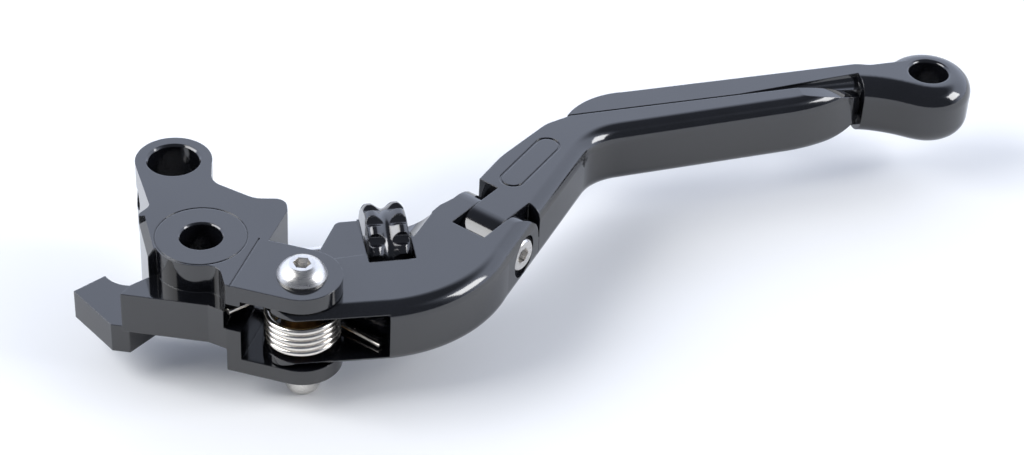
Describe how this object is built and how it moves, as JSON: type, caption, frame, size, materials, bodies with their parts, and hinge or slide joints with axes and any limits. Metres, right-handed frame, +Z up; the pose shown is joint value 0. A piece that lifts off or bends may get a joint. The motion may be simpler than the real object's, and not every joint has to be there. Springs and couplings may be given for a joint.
{
  "type": "folding clutch lever",
  "caption": "Black folding clutch lever with a forked base, a thumb-wheel reach adjuster, a fold hinge and a sliding ball-ended extension.",
  "frame": {"origin": "on the pivot bore's axis, half way up the base bracket's clevis", "axes": "+X along the straight finger grip towards the ball end, +Y towards the rider, +Z up along the pivot axis"},
  "size_m": [0.1939, 0.0626, 0.03],
  "materials": {
    "black_anodised": "bright black anodised over fine machining marks",
    "stainless": "turned stainless steel",
    "spring_steel": "drawn stainless spring wire",
    "bronze": "plain bronze",
    "nylon": "natural nylon"
  },
  "bodies": {
    "base": {"base_bracket": "black_anodised", "clevis_screw": "stainless", "clevis_nut": "stainless", "pivot_sleeve": "bronze", "torsion_spring": "spring_steel"},
    "knuckle": {"knuckle": "black_anodised", "fold_screw": "stainless", "fold_detent_ball": "stainless", "fold_detent_spring": "spring_steel", "wheel_washer_left": "stainless", "wheel_washer_right": "stainless", "click_pin": "stainless", "click_spring": "spring_steel"},
    "wheel": {"adjuster_wheel": "black_anodised", "wheel_insert": "bronze"},
    "push_screw": {"push_screw": "stainless", "push_tip": "nylon"},
    "blade": {"blade": "black_anodised", "fold_bush_near": "bronze", "fold_bush_far": "bronze"},
    "extension": {"extension": "black_anodised", "stop_pin": "stainless", "lock_screws": "stainless"}
  },
  "joints": [
    {"name": "reach", "type": "hinge", "parent": "base", "child": "knuckle", "pos_m": [0.0161, -0.0154, 0], "axis": [0, 0, 1], "range_deg": [-5, 5], "deforming": ["torsion_spring"]},
    {"name": "wheel_turn", "type": "hinge", "parent": "knuckle", "child": "wheel", "pos_m": [0.0353, -0.0006, 0.0012], "axis": [0.9969, -0.0785, 0], "range_deg": [-740.3, 740.3]},
    {"name": "push_slide", "type": "slide", "parent": "knuckle", "child": "push_screw", "axis": [-0.9969, 0.0785, 0], "range_m": [-0.00146, 0.00146]},
    {"name": "fold", "type": "hinge", "parent": "knuckle", "child": "blade", "pos_m": [0.05394, 0.00362, 0], "axis": [0.6088, -0.7934, 0], "range_deg": [0, 85]},
    {"name": "extend", "type": "slide", "parent": "blade", "child": "extension", "axis": [1, 0, 0], "range_m": [0, 0.02]}
  ],
  "couplings": [
    {"joint": "push_slide", "follows": "reach", "m_per_rad": -0.016472},
    {"joint": "wheel_turn", "follows": "reach", "ratio": -147.85}
  ]
}
